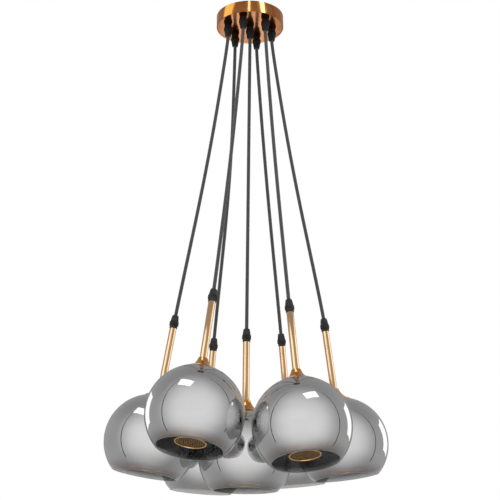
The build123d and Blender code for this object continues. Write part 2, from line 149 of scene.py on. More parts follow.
# %% [markdown]
# ## Cords
# A braided cord under the weight of a globe is nearly straight: it leaves its grip downwards
# and bends a little where it starts to lean. A NURBS curve through a few control points is
# right for that, with a round bevel for the cord's thickness. Its order is set after the
# points are there, because a spline with two points can't hold order three. The thickness is
# each point's radius times a bevel of one, since a curve's box is drawn out to those radii.

# %% Cords
CORD_D = 6.4 * MM


cords = {}
for name, route in routes.items():
    points = list(route)
    if len(points) == 2:
        points.insert(1, (points[0] + points[1]) / 2)
    curve = bpy.data.curves.new("braided_cord_" + name, "CURVE")
    curve.dimensions = "3D"
    spline = curve.splines.new("NURBS")
    spline.points.add(len(points) - 1)
    for point, place in zip(spline.points, points):
        point.co = (*place, 1)
        point.radius = CORD_D / 2
    spline.order_u = 3
    spline.use_endpoint_u = True
    spline.resolution_u = 24
    curve.bevel_depth = 1
    curve.bevel_resolution = 4
    curve.use_fill_caps = True
    cord = in_scene("braided_cord_" + name, curve)
    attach(cord, "pendant_" + name)
    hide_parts("cord_" + name)
    cords[name] = cord

# %% [markdown]
# ## Turned pieces
# Rods, caps, globes and cord grips are all round about an axis, so one recipe makes them: an
# outline is drawn from a few corners and arcs, its corners are rounded, and it is spun once
# about the axis. The outline is kept as a closed loop of edges, so the spin gives a closed
# skin. Every vertex also remembers its place on the upright piece, because the finishes
# (brush lines, rings, streaks) follow the piece and not the room.

# %% A lathe made of bmesh operators
LATHE_STEPS = 128
PLACE_ON_PIECE = "place_on_piece"


def arc_from(sheet, corner, centre, angle, steps):
    """Spin one vertex about a centre in the outline's plane, and return the arc's far end."""
    made = bmesh.ops.spin(sheet, geom=[corner], cent=(centre[0], 0, centre[1]),
                          axis=(0, 1, 0), dvec=(0, 0, 0), angle=angle, steps=steps,
                          use_merge=False, use_duplicate=False)
    return [item for item in made["geom_last"] if isinstance(item, bmesh.types.BMVert)][0]


def closed_outline(corners):
    """A bmesh with one closed loop of edges through corners of (radius, height)."""
    sheet = bmesh.new()
    verts = [sheet.verts.new((radius, 0, height)) for radius, height in corners]
    for before, after in zip(verts, verts[1:] + verts[:1]):
        sheet.edges.new((before, after))
    return sheet, verts


def round_corners(sheet, verts, radius, segments=3):
    """Round some of an outline's corners."""
    bmesh.ops.bevel(sheet, geom=verts, offset=radius, offset_type="OFFSET", segments=segments,
                    profile=0.5, affect="VERTICES", material=-1)


def spin_round(sheet, steps=LATHE_STEPS):
    """Spin an outline once about the axis, close the seam and point the faces outwards."""
    bmesh.ops.spin(sheet, geom=sheet.edges[:], cent=(0, 0, 0), axis=(0, 0, 1),
                   dvec=(0, 0, 0), angle=2 * pi, steps=steps, use_merge=True,
                   use_duplicate=False)
    bmesh.ops.remove_doubles(sheet, verts=sheet.verts[:], dist=1e-6)
    bmesh.ops.recalc_face_normals(sheet, faces=sheet.faces[:])
    return sheet


def plain_mesh(name, sheet):
    """Turn a bmesh into a mesh as it is."""
    mesh = bpy.data.meshes.new(name)
    sheet.to_mesh(mesh)
    sheet.free()
    return mesh


def finished_mesh(name, sheet, sharp_degrees=35):
    """Turn a bmesh into a mesh with smooth faces, sharp creases and its own coordinates."""
    place = sheet.verts.layers.float_vector.new(PLACE_ON_PIECE)
    for vert in sheet.verts:
        vert[place] = vert.co
    for face in sheet.faces:
        face.smooth = True
    for edge in sheet.edges:
        if len(edge.link_faces) == 2:
            edge.smooth = edge.calc_face_angle(0) < radians(sharp_degrees)
    mesh = plain_mesh(name, sheet)
    print(name, "has", len(mesh.polygons), "faces")
    return mesh


def hang_pieces(kind, mesh, replaced):
    """Copy a mesh to the seven pendants, with its place in its vertices."""
    made = {}
    for name, place in pendant_frames.items():
        copy = mesh.copy()
        copy.transform(place)
        piece = in_scene(kind + "_" + name, copy)
        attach(piece, "pendant_" + name)
        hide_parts(replaced + "_" + name)
        made[name] = piece
    return made


# %% [markdown]
# ## Heights on a pendant's axis
# The globe's middle is zero. Above it come the cap, the rod and the cord grip, and below it
# the open rim. The sizes are the CAD model's own.

# %% Sizes on the axis
GLOBE_R = 81.5 * MM
GLASS_T = 2.5 * MM
RIM_DROP = 58 * MM
NECK_R = 10 * MM
CAP_BASE_Z = 77.71 * MM
ROD_Z = 98.21 * MM
GRIP_Z = 203.21 * MM

# %% [markdown]
# ## Globes
# Each globe is blown glass, cut open at the bottom and ground flat there. Two arcs, one
# outside and one inside, joined at the neck and at the rim, make the wall's outline. The rim
# corners get a small round, which catches the thin light line of a ground edge. The skin has
# three finishes: the outside is silvered, the inside is plain smoked glass, and the edge is
# ground and frosted.

# %% Globes
ARC_STEPS = 56
SILVERED = 0
SMOKED = 1
GROUND_EDGE = 2


def arc_angles(radius):
    """Heights' angles from straight up at the neck and at the rim, for a sphere's arc."""
    neck = Vector((NECK_R, sqrt(radius**2 - NECK_R**2)))
    rim = Vector((sqrt(radius**2 - RIM_DROP**2), -RIM_DROP))
    return neck, rim, neck.angle(rim)


globe_sheet = bmesh.new()
ends = []
for radius in (GLOBE_R, GLOBE_R - GLASS_T):
    neck, rim, angle = arc_angles(radius)
    neck_vert = globe_sheet.verts.new((neck.x, 0, neck.y))
    ends.append((neck_vert, arc_from(globe_sheet, neck_vert, (0, 0), angle, ARC_STEPS)))
for outer_end, inner_end in zip(*ends):
    globe_sheet.edges.new((outer_end, inner_end))
round_corners(globe_sheet, [pair[1] for pair in ends], 0.9 * MM)
spin_round(globe_sheet)
for face in globe_sheet.faces:
    middle = face.calc_center_median()
    if middle.z < -RIM_DROP + 0.2 * MM:
        face.material_index = GROUND_EDGE
    elif middle.length > GLOBE_R - 0.3 * MM:
        face.material_index = SILVERED
    else:
        face.material_index = SMOKED
globe_mesh = finished_mesh("mirror_globe", globe_sheet, 50)
globes = hang_pieces("mirror_globe", globe_mesh, "globe")

# %% [markdown]
# ## Caps and rods
# The cap is spun from sheet metal: a narrow neck that flares with a hollow curve to a thin
# lip on the glass. The rod is a plain tube. Only their outlines and their corner rounds
# differ.

# %% Caps and rods
CAP_TOP_R = 8.3 * MM
CAP_BASE_R = 25.5 * MM
CAP_WALL = 1.2 * MM
CAP_SAG = 3.6 * MM
CAP_BORE_R = 5.1 * MM
ROD_R = 6.25 * MM
ROD_BORE_R = 5.1 * MM


def flare(sheet, base, top, sag, steps=20):
    """A hollow arc from a wide base up to a narrow top; returns its two ends."""
    chord = Vector(top) - Vector(base)
    radius = (chord.length**2 / 4 + sag**2) / (2 * sag)
    outward = Vector((chord.y, -chord.x)).normalized()
    centre = Vector(base) + chord / 2 + outward * (radius - sag)
    arms = (Vector(base) - centre, Vector(top) - centre)
    base_vert = sheet.verts.new((base[0], 0, base[1]))
    top_vert = arc_from(sheet, base_vert, centre, arms[0].angle(arms[1]), steps)
    if (Vector((top_vert.co.x, top_vert.co.z)) - Vector(top)).length > 0.01 * MM:
        raise ValueError("the flare turns the wrong way")
    return base_vert, top_vert


cap_sheet = bmesh.new()
inner_base_r = CAP_BASE_R - CAP_WALL
inner_base_z = sqrt(GLOBE_R**2 - inner_base_r**2) + 0.6 * MM
outer_base, outer_top = flare(cap_sheet, (CAP_BASE_R, CAP_BASE_Z + CAP_WALL),
                              (CAP_TOP_R, ROD_Z), CAP_SAG)
inner_base, inner_top = flare(cap_sheet, (inner_base_r, inner_base_z),
                              (CAP_TOP_R - CAP_WALL, ROD_Z - CAP_WALL), CAP_SAG)
lip = cap_sheet.verts.new((CAP_BASE_R, 0, CAP_BASE_Z))
bore_top = cap_sheet.verts.new((CAP_BORE_R, 0, ROD_Z))
bore_bottom = cap_sheet.verts.new((CAP_BORE_R, 0, ROD_Z - CAP_WALL))
for pair in ((outer_top, bore_top), (bore_top, bore_bottom), (bore_bottom, inner_top),
             (inner_base, lip), (lip, outer_base)):
    cap_sheet.edges.new(pair)
round_corners(cap_sheet, [outer_top, outer_base, lip], 0.35 * MM)
caps = hang_pieces("flared_cap", finished_mesh("flared_cap", spin_round(cap_sheet)),
                   "cap")

rod_sheet, rod_corners = closed_outline([(ROD_R, ROD_Z), (ROD_R, GRIP_Z),
                                         (ROD_BORE_R, GRIP_Z), (ROD_BORE_R, ROD_Z)])
round_corners(rod_sheet, rod_corners, 0.3 * MM)
rods = hang_pieces("satin_rod", finished_mesh("satin_rod", spin_round(rod_sheet, 64)),
                   "rod")

# %% [markdown]
# ## Cord grips
# A cord grip is a black moulded nut: a plain foot, a collar with ribs for the fingers and a
# dome that closes round the cord. It is turned like the rest. Then the vertices of the
# collar's every fourth column are drawn inwards, which leaves sixteen ribs. One grip stands
# on each rod, and seven hang head down from the canopy.

# %% Cord grips
GRIP_OUTLINE = [
    (5.0, -7.0), (5.0, 0.0), (7.0, 0.0), (7.0, 4.0), (7.6, 4.4), (8.2, 5.6), (8.2, 11.2),
    (7.6, 12.5), (7.2, 12.9), (6.3, 19.8), (5.5, 23.5), (4.05, 23.5), (4.05, 21.2),
    (3.7, 20.5), (3.7, -7.0),
]
GRIP_COLUMNS = 64
RIB_EVERY = 4
RIB_SHRINK = 0.91


def cord_grip_mesh(name):
    """One cord grip, standing on height zero with its thread below."""
    corners = [(radius * MM, height * MM) for radius, height in GRIP_OUTLINE]
    sheet, verts = closed_outline(corners)
    round_corners(sheet, verts[2:4] + verts[8:12], 0.35 * MM, 2)
    spin_round(sheet, GRIP_COLUMNS)
    column = 2 * pi / GRIP_COLUMNS
    grooves = []
    for vert in sheet.verts:
        is_collar = 4.2 * MM < vert.co.z < 12.7 * MM and vert.co.xy.length > 7.3 * MM
        turn = round(Vector((1, 0)).angle_signed(vert.co.xy, 0) / column)
        if is_collar and turn % RIB_EVERY == 0:
            grooves.append(vert)
    bmesh.ops.scale(sheet, vec=(RIB_SHRINK, RIB_SHRINK, 1), verts=grooves)
    return finished_mesh(name, sheet, 40)


rod_grip_mesh = cord_grip_mesh("ribbed_grip")
standing_grip = rod_grip_mesh.copy()
standing_grip.transform(Matrix.Translation((0, 0, GRIP_Z)))
grips = hang_pieces("ribbed_grip", standing_grip, "rod_grip")

# %% [markdown]
# ## Canopy
# The canopy is a shallow spun dish. Its underside has seven holes, which a lathe can't make,
# so the flat is filled between eight circles and given its thickness, and the upright wall
# is spun as an L-shaped outline that meets it. The two are joined where their vertices lie
# on each other.

# %% Canopy
CANOPY_R = 65 * MM
CANOPY_H = 23 * MM
CANOPY_WALL = 1.2 * MM
FLAT_R = 62.5 * MM
HOLE_R = 5.1 * MM
CANOPY_STEPS = 192

canopy_sheet = bmesh.new()
rim = bmesh.ops.create_circle(canopy_sheet, cap_ends=False, segments=CANOPY_STEPS,
                              radius=FLAT_R, matrix=Matrix.Translation((0, 0, -CANOPY_H)))
for hole, *_ in PENDANTS.values():
    place = hole_place(hole) + Vector((0, 0, -CANOPY_H))
    bmesh.ops.create_circle(canopy_sheet, cap_ends=False, segments=32, radius=HOLE_R,
                            matrix=Matrix.Translation(place))
bmesh.ops.triangle_fill(canopy_sheet, edges=canopy_sheet.edges[:], use_beauty=True)
flat_faces = canopy_sheet.faces[:]
raised = bmesh.ops.extrude_face_region(canopy_sheet, geom=flat_faces, use_keep_orig=True)
raised_verts = [item for item in raised["geom"] if isinstance(item, bmesh.types.BMVert)]
bmesh.ops.translate(canopy_sheet, vec=(0, 0, CANOPY_WALL), verts=raised_verts)
outer_skirt = [face for face in canopy_sheet.faces
               if all(vert.co.xy.length > FLAT_R - 0.01 * MM for vert in face.verts)]
bmesh.ops.delete(canopy_sheet, geom=outer_skirt, context="FACES")

inner_r = CANOPY_R - CANOPY_WALL
wall_corners = [(FLAT_R, -CANOPY_H), (CANOPY_R, -CANOPY_H), (CANOPY_R, 0), (inner_r, 0),
                (inner_r, CANOPY_WALL - CANOPY_H), (FLAT_R, CANOPY_WALL - CANOPY_H)]
wall_sheet = bmesh.new()
wall_verts = [wall_sheet.verts.new((radius, 0, height)) for radius, height in wall_corners]
for before, after in zip(wall_verts, wall_verts[1:]):
    wall_sheet.edges.new((before, after))
round_corners(wall_sheet, wall_verts[1:4], 0.3 * MM)
bmesh.ops.spin(wall_sheet, geom=wall_sheet.edges[:], cent=(0, 0, 0), axis=(0, 0, 1),
               dvec=(0, 0, 0), angle=2 * pi, steps=CANOPY_STEPS, use_merge=True,
               use_duplicate=False)
wall_mesh = plain_mesh("canopy_wall", wall_sheet)
canopy_sheet.from_mesh(wall_mesh)
bmesh.ops.remove_doubles(canopy_sheet, verts=canopy_sheet.verts[:], dist=0.02 * MM)
bmesh.ops.recalc_face_normals(canopy_sheet, faces=canopy_sheet.faces[:])
open_edges = sum(1 for edge in canopy_sheet.edges if len(edge.link_faces) != 2)
print("open edges in the canopy", open_edges)
canopy = in_scene("copper_canopy", finished_mesh("copper_canopy", canopy_sheet))
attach(canopy, "canopy_assembly")
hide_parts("canopy")

# %% [markdown]
# The canopy's seven grips hang upside down, so each copy is turned over. A thin hexagonal
# nut inside the dish holds each of them.

# %% Grips in the canopy
NUT_ACROSS_CORNERS = 14 / cos(pi / 6)
NUT_H = 3 * MM

nut_sheet = bmesh.new()
bmesh.ops.create_circle(nut_sheet, cap_ends=False, segments=6,
                        radius=NUT_ACROSS_CORNERS / 2 * MM)
bmesh.ops.create_circle(nut_sheet, cap_ends=False, segments=24, radius=HOLE_R)
bmesh.ops.triangle_fill(nut_sheet, edges=nut_sheet.edges[:], use_beauty=True)
lifted = bmesh.ops.extrude_face_region(nut_sheet, geom=nut_sheet.faces[:], use_keep_orig=True)
lifted_verts = [item for item in lifted["geom"] if isinstance(item, bmesh.types.BMVert)]
bmesh.ops.translate(nut_sheet, vec=(0, 0, NUT_H), verts=lifted_verts)
bmesh.ops.recalc_face_normals(nut_sheet, faces=nut_sheet.faces[:])
nut_mesh = finished_mesh("lock_nut", nut_sheet, 30)

upside_down = Matrix.Rotation(pi, 4, "X")
ceiling_sheet = bmesh.new()
for hole, *_ in PENDANTS.values():
    place = hole_place(hole)
    for mesh, turn, height in ((rod_grip_mesh, upside_down, -CANOPY_H),
                               (nut_mesh, Matrix.Identity(4), CANOPY_WALL - CANOPY_H)):
        copy = mesh.copy()
        copy.transform(Matrix.Translation((place.x, place.y, height)) @ turn)
        ceiling_sheet.from_mesh(copy)
ceiling_mesh = plain_mesh("ceiling_grips", ceiling_sheet)
ceiling_grips = in_scene("ceiling_grips", ceiling_mesh)
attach(ceiling_grips, "canopy_assembly")
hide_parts("canopy_grips")
print("ceiling_grips has", len(ceiling_mesh.polygons), "faces")

# %% [markdown]
# ## Mesh baskets
# Expanded metal is a sheet of diamonds. A grid of four-sided faces becomes one with two
# operators: poke puts a middle in every face, and dissolving the old edges joins the
# triangles on both sides of each into a diamond. Insetting every diamond and deleting its
# middle leaves the strands. The flared wall starts from a spun outline, the round end from a
# flat grid whose outer vertices are drawn onto the circle. A wire ring covers the joint. The
# end's cells are large and thin enough to be told apart from two metres away.

# %% Mesh baskets
BASKET_PLATE_R = 30 * MM
BASKET_WIDE_R = 44 * MM
BASKET_END_R = 25.5 * MM
BASKET_TOP_Z = 38.57 * MM
BASKET_WIDE_Z = -14.82 * MM
BASKET_END_Z = -46.0 * MM
BASKET_HOLE_R = 20 * MM
WIRE_R = 1.3 * MM
STRAND_T = 0.7 * MM
WALL_COLUMNS = 44
END_CELL_X = 4.6 * MM
END_CELL_Y = 6.0 * MM


def cut_diamonds(sheet, strand):
    """Turn a grid of faces into a net of diamond holes with strands between them."""
    old_edges = [edge for edge in sheet.edges if len(edge.link_faces) == 2]
    bmesh.ops.poke(sheet, faces=sheet.faces[:])
    bmesh.ops.dissolve_edges(sheet, edges=old_edges, use_verts=False)
    diamonds = sheet.faces[:]
    bmesh.ops.inset_individual(sheet, faces=diamonds, thickness=strand / 2, depth=0,
                               use_even_offset=False)
    bmesh.ops.delete(sheet, geom=diamonds, context="FACES_ONLY")


def thicken(sheet, thickness):
    """Give a net its thickness, with its faces pointing outwards."""
    bmesh.ops.recalc_face_normals(sheet, faces=sheet.faces[:])
    bmesh.ops.solidify(sheet, geom=sheet.faces[:], thickness=thickness)
    bmesh.ops.recalc_face_normals(sheet, faces=sheet.faces[:])


wall_sheet = bmesh.new()
rows = []
for row in range(12):
    share = row / 12
    rows.append((BASKET_END_R + (BASKET_WIDE_R - BASKET_END_R) * share,
                 BASKET_END_Z + (BASKET_WIDE_Z - BASKET_END_Z) * share))
for row in range(15):
    share = row / 14
    bulge = 5 * MM * sin(pi * share)
    rows.append((BASKET_WIDE_R + (BASKET_PLATE_R - BASKET_WIDE_R) * share + bulge,
                 BASKET_WIDE_Z + (BASKET_TOP_Z - BASKET_WIDE_Z) * share))
row_verts = [wall_sheet.verts.new((radius, 0, height)) for radius, height in rows]
for before, after in zip(row_verts, row_verts[1:]):
    wall_sheet.edges.new((before, after))
bmesh.ops.spin(wall_sheet, geom=wall_sheet.edges[:], cent=(0, 0, 0), axis=(0, 0, 1),
               dvec=(0, 0, 0), angle=2 * pi, steps=WALL_COLUMNS, use_merge=True,
               use_duplicate=False)
cut_diamonds(wall_sheet, 1.1 * MM)
thicken(wall_sheet, STRAND_T)

end_sheet = bmesh.new()
columns = int(2 * BASKET_END_R / END_CELL_X) + 2
lines = int(2 * BASKET_END_R / END_CELL_Y) + 2
bmesh.ops.create_grid(end_sheet, x_segments=columns, y_segments=lines, size=0.5)
bmesh.ops.scale(end_sheet, vec=(columns * END_CELL_X, lines * END_CELL_Y, 1),
                verts=end_sheet.verts[:])
outside = [face for face in end_sheet.faces
           if min(vert.co.length for vert in face.verts) > BASKET_END_R]
bmesh.ops.delete(end_sheet, geom=outside, context="FACES")
for vert in end_sheet.verts:
    if vert.co.length > BASKET_END_R:
        vert.co = vert.co.normalized() * BASKET_END_R
cut_diamonds(end_sheet, 0.5 * MM)
bmesh.ops.translate(end_sheet, vec=(0, 0, BASKET_END_Z - WIRE_R), verts=end_sheet.verts[:])
thicken(end_sheet, STRAND_T / 2)
for face in end_sheet.faces:
    face.material_index = 1

basket_sheet = bmesh.new()
bmesh.ops.create_circle(basket_sheet, cap_ends=False, segments=12, radius=WIRE_R,
                        matrix=Matrix.Translation((BASKET_END_R, 0, BASKET_END_Z - WIRE_R))
                        @ Matrix.Rotation(pi / 2, 4, "X"))
spin_round(basket_sheet, 96)
for face in basket_sheet.faces:
    face.material_index = 1
plate_sheet, _ = closed_outline([
    (BASKET_HOLE_R, BASKET_TOP_Z), (BASKET_PLATE_R + 1 * MM, BASKET_TOP_Z),
    (BASKET_PLATE_R + 1 * MM, BASKET_TOP_Z - 1 * MM), (BASKET_HOLE_R, BASKET_TOP_Z - 1 * MM)])
spin_round(plate_sheet, 96)
for part in (wall_sheet, end_sheet, plate_sheet):
    part_mesh = plain_mesh("basket_part", part)
    basket_sheet.from_mesh(part_mesh)
basket_mesh = finished_mesh("mesh_basket", basket_sheet, 40)
baskets = hang_pieces("mesh_basket", basket_mesh, "basket")

# %% [markdown]
# ## Bulbs
# A small round bulb sits in each lamp holder, hidden by the mirror glass and the basket. It
# is a sphere that runs into a neck, and a metal screw base with a rounded thread.

# %% Bulbs
BULB_R = 22.5 * MM
BULB_MIDDLE_Z = -12.42 * MM
BULB_BASE_TOP_Z = 41.07 * MM
BULB_BASE_Z = 17.07 * MM
BULB_NECK_R = 12 * MM
BULB_SCREW_R = 13.3 * MM
THREAD_TURNS = 5

glass_sheet = bmesh.new()
lowest = glass_sheet.verts.new((0, 0, BULB_MIDDLE_Z - BULB_R))
neck_z = BULB_MIDDLE_Z + sqrt(BULB_R**2 - BULB_NECK_R**2)
neck_arm = Vector((BULB_NECK_R, neck_z - BULB_MIDDLE_Z))
neck_vert = arc_from(glass_sheet, lowest, (0, BULB_MIDDLE_Z), -neck_arm.angle(Vector((0, -1))), 24)
glass_top = glass_sheet.verts.new((BULB_NECK_R, 0, BULB_BASE_Z))
glass_end = glass_sheet.verts.new((0, 0, BULB_BASE_Z))
glass_sheet.edges.new((neck_vert, glass_top))
glass_sheet.edges.new((glass_top, glass_end))
spin_round(glass_sheet, 64)

screw_corners = [(0, BULB_BASE_Z), (BULB_SCREW_R - 1 * MM, BULB_BASE_Z)]
for turn in range(THREAD_TURNS):
    height = BULB_BASE_Z + (turn + 0.5) * 4 * MM
    screw_corners += [(BULB_SCREW_R, height), (BULB_SCREW_R - 1 * MM, height + 2 * MM)]
screw_corners += [(6.6 * MM, BULB_BASE_TOP_Z), (0, BULB_BASE_TOP_Z)]
screw_sheet = bmesh.new()
screw_verts = [screw_sheet.verts.new((radius, 0, height)) for radius, height in screw_corners]
for before, after in zip(screw_verts, screw_verts[1:]):
    screw_sheet.edges.new((before, after))
round_corners(screw_sheet, screw_verts[2:-2], 0.8 * MM, 2)
spin_round(screw_sheet, 48)
for face in screw_sheet.faces:
    face.material_index = 1
screw_mesh = plain_mesh("bulb_screw", screw_sheet)
glass_sheet.from_mesh(screw_mesh)
bulbs = hang_pieces("round_bulb", finished_mesh("round_bulb", glass_sheet), "bulb")

# %% [markdown]
# ## Shader sums written as Python
# A finish is a small calculation on the surface. Wrapping a socket in a class with the usual
# operators lets it be written as one, such as 1 - mask * 0.2, and every operator adds its own
# Math node. Any other node comes from one method, which sets the node up first and then fills
# its sockets with numbers or links.

# %% A socket with arithmetic
class Wire:
    """A value in a shader, on which sums add Math nodes."""

    def __init__(self, tree, socket=None):
        self.tree = tree
        self.socket = socket

    def node(self, kind, settings=None, inputs=None, output=0):
        """Add any node: its settings first, then the values or links of its sockets."""
        made = self.tree.nodes.new(kind)
        for setting, value in (settings or {}).items():
            if setting == "stops":
                for stop, (position, colour) in zip(made.color_ramp.elements, value):
                    stop.position = position
                    stop.color = colour
            else:
                setattr(made, setting, value)
        for place, value in (inputs or {}).items():
            if isinstance(value, Wire):
                self.tree.links.new(value.socket, made.inputs[place])
            else:
                made.inputs[place].default_value = value
        return Wire(self.tree, made.outputs[output] if made.outputs else None)

    def maths(self, operation, first, second=0.0):
        return self.node("ShaderNodeMath", {"operation": operation}, {0: first, 1: second})

    def __add__(self, other):
        return self.maths("ADD", self, other)

    def __radd__(self, other):
        return self.maths("ADD", other, self)

    def __sub__(self, other):
        return self.maths("SUBTRACT", self, other)

    def __rsub__(self, other):
        return self.maths("SUBTRACT", other, self)

    def __mul__(self, other):
        return self.maths("MULTIPLY", self, other)

    def __rmul__(self, other):
        return self.maths("MULTIPLY", other, self)

    def between(self, low, high):
        """0 below `low`, 1 above `high`, and smooth in between."""
        return self.node("ShaderNodeMapRange", {"interpolation_type": "SMOOTHSTEP"},
                         {"Value": self, "From Min": low, "From Max": high})

    def mixed(self, dark, light):
        """A colour between two others, with this value as the share of the second."""
        return self.node("ShaderNodeMix", {"data_type": "RGBA"},
                         {0: self, 6: dark, 7: light}, output=2)


# %% [markdown]
# Every finish is one Principled shader. What is the same all over is set on its own socket.
# What varies is linked, and a Bump node turns a height into a normal. The grain's coordinates
# are the ones that each vertex remembers, stretched by a Mapping node so that the noise runs
# along the rod, round the cap or across the canopy's flat.

# %% Making a finish
ANGLE_SHARE = 0.004


def new_finish(name, settings):
    """A material with one Principled shader; returns it, a start for sums and the shader."""
    material = bpy.data.materials.new(name)
    material.use_nodes = True
    tree = material.node_tree
    shader = next(node for node in tree.nodes if node.type == "BSDF_PRINCIPLED")
    for socket, value in settings.items():
        shader.inputs[socket].default_value = value
    return material, Wire(tree), shader


def feed(start, shader, **links):
    """Link wires to the shader's sockets, named with underscores for spaces."""
    for socket, wire in links.items():
        start.tree.links.new(wire.socket, shader.inputs[socket.replace("_", " ")])


def grey(level):
    return (level, level, level, 1)


def colour(red, green, blue):
    return (red, green, blue, 1)


def noise_on(start, place, scale, stretch=(1, 1, 1), detail=3.0):
    """Noise on a place that is stretched first."""
    stretched = start.node("ShaderNodeMapping", None, {"Vector": place, "Scale": stretch})
    return start.node("ShaderNodeTexNoise", None,
                      {"Vector": stretched, "Scale": scale, "Detail": detail})


def bump_from(start, height, distance, strength=1.0):
    return start.node("ShaderNodeBump", None,
                      {"Height": height, "Distance": distance, "Strength": strength})


def piece_place(start):
    return start.node("ShaderNodeAttribute", {"attribute_name": PLACE_ON_PIECE},
                      output="Vector")


def height_on_piece(start):
    return start.node("ShaderNodeSeparateXYZ", None, {0: piece_place(start)}, output="Z")


def turned_place(start):
    """(radius, height, a little of the angle): the grain of a piece that was spun."""
    place = piece_place(start)
    split = start.node("ShaderNodeSeparateXYZ", None, {0: place}).socket.node
    x, y, z = (Wire(start.tree, split.outputs[axis]) for axis in "XYZ")
    radius = start.maths("SQRT", x * x + y * y)
    angle = start.maths("ARCTAN2", y, x)
    return start.node("ShaderNodeCombineXYZ", None,
                      {"X": radius, "Y": z, "Z": angle * ANGLE_SHARE})


# %% [markdown]
# ## The metals
# Three warm metals: brushed copper on the canopy, polished orange gold on the caps and satin
# champagne gold on the rods. All have full Metallic, and differ in colour, in roughness and in
# which way the fine brush lines run. Fingermarks and lacquer make the roughness a bit uneven.

# %% Canopy copper
copper, start, shader = new_finish("brushed_copper", {"Metallic": 1.0})
grain = noise_on(start, turned_place(start), 2600, detail=2.0)
cloud = noise_on(start, piece_place(start), 22)
on_wall = height_on_piece(start).between(-22.95 * MM, -22.6 * MM)
streaks = (grain * 0.6 + cloud * 0.4).between(0.3, 0.7)
# The wall and the flat are one copper: the wall is painted darker as painted shade, and the flat
# underside lighter as painted light from below.
copper_wall_painted_shade = streaks.mixed(colour(0.48, 0.165, 0.052), colour(0.60, 0.22, 0.07))
copper_flat_painted_light = streaks.mixed(colour(0.56, 0.21, 0.065), colour(0.70, 0.29, 0.10))
feed(start, shader,
     Base_Color=on_wall.mixed(copper_flat_painted_light, copper_wall_painted_shade),
     Roughness=0.11 + on_wall * 0.01 + grain * 0.05 + cloud * 0.03,
     Normal=bump_from(start, grain, 0.00002, 0.3))
canopy.data.materials.append(copper)

# %% Cap gold
cap_gold, start, shader = new_finish("polished_orange_gold", {"Metallic": 1.0})
grain = noise_on(start, turned_place(start), 3000, detail=2.0)
cloud = noise_on(start, piece_place(start), 60)
feed(start, shader,
     Base_Color=cloud.between(0.3, 0.7).mixed(colour(0.76, 0.33, 0.09),
                                              colour(0.86, 0.42, 0.13)),
     Roughness=0.09 + grain * 0.05 + cloud * 0.03,
     Normal=bump_from(start, grain, 0.00001, 0.2))
for piece in caps.values():
    piece.data.materials.append(cap_gold)

# %% Rod champagne
champagne, start, shader = new_finish("satin_champagne", {"Metallic": 1.0})
grain = noise_on(start, piece_place(start), 2600, (1, 1, 0.008), 2.0)
cloud = noise_on(start, piece_place(start), 40)
feed(start, shader,
     Base_Color=(grain * 0.6 + cloud * 0.4).between(0.2, 0.8).mixed(
         colour(0.80, 0.48, 0.25), colour(0.87, 0.56, 0.32)),
     Roughness=0.10 + grain * 0.05 + cloud * 0.02)
for piece in rods.values():
    piece.data.materials.append(champagne)

# %% Basket gold
# The net is painted a dark gold, far below the ring's bright gold: painted shade for the unlit
# inside of the basket.
net_gold_painted_dark, start, shader = new_finish("gold_mesh", {"Metallic": 1.0})
cloud = noise_on(start, piece_place(start), 300)
feed(start, shader,
     Base_Color=cloud.between(0.3, 0.7).mixed(colour(0.15, 0.075, 0.03),
                                              colour(0.23, 0.12, 0.05)),
     Roughness=0.22 + cloud * 0.12)
ring_gold, start, shader = new_finish("ring_gold", {"Metallic": 1.0})
cloud = noise_on(start, piece_place(start), 200)
feed(start, shader,
     Base_Color=cloud.between(0.3, 0.7).mixed(colour(0.90, 0.55, 0.19),
                                              colour(0.98, 0.64, 0.27)),
     Roughness=0.12 + cloud * 0.08)
for piece in baskets.values():
    piece.data.materials.append(net_gold_painted_dark)
    piece.data.materials.append(ring_gold)

# %% [markdown]
# ## Smoked mirror glass
# The globes are glass with a thin metal film: they mirror the room in grey and still let a
# little of what is behind them through. A film is metal with a plain Alpha below one. The
# outer skin carries the bright film, and the inner skin is darker, so that the wall seen
# through the opening is dark grey. The film is painted darker where it is seen edge-on, a
# painted shade that draws each globe's thin grey outline. Towards the rim the film thins out
# so that the basket shows through, and a warm tint painted there stands for the basket's glow
# seen through it. Light wipe marks break the gloss up very slightly.

# %% Mirror glass
def towards_rim(start):
    """0 on most of a globe, rising to 1 at its open rim."""
    return 1 - height_on_piece(start).between(-58 * MM, -43 * MM)


silvered, start, shader = new_finish("silvered_glass", {"Metallic": 1.0})
smear = noise_on(start, piece_place(start), 18, (1, 1, 2), 4.0)
edge_on = start.node("ShaderNodeLayerWeight", None, {"Blend": 0.5}, output="Facing")
film = smear.between(0.3, 0.7).mixed(grey(0.74), grey(0.78))
# Painted glow: a warm tint towards the rim stands for the gold basket seen through the film.
film_with_painted_basket_glow = (towards_rim(start) * 0.3).mixed(film, colour(0.86, 0.62, 0.50))
feed(start, shader,
     # Painted shade: the film turns dark grey where it is seen edge-on.
     Base_Color=edge_on.between(0.68, 0.92).mixed(film_with_painted_basket_glow, grey(0.26)),
     Roughness=0.02 + smear * 0.02,
     Alpha=0.80 - towards_rim(start) * 0.34)
smoked, start, shader = new_finish("smoked_glass", {"Metallic": 1.0})
smear = noise_on(start, piece_place(start), 25, (1, 1, 2), 4.0)
feed(start, shader,
     Base_Color=smear.between(0.3, 0.7).mixed(colour(0.29, 0.28, 0.28),
                                              colour(0.34, 0.33, 0.33)),
     Roughness=0.10 + smear * 0.05,
     Alpha=0.74 - towards_rim(start) * 0.30)
ground, start, shader = new_finish("ground_edge", {"Specular IOR Level": 0.6})
frost = noise_on(start, piece_place(start), 1800, detail=2.0)
feed(start, shader, Base_Color=frost.mixed(grey(0.10), grey(0.20)),
     Roughness=0.25 + frost * 0.2,
     Normal=bump_from(start, frost, 0.00005, 0.4))
for piece in globes.values():
    for material in (silvered, smoked, ground):
        piece.data.materials.append(material)
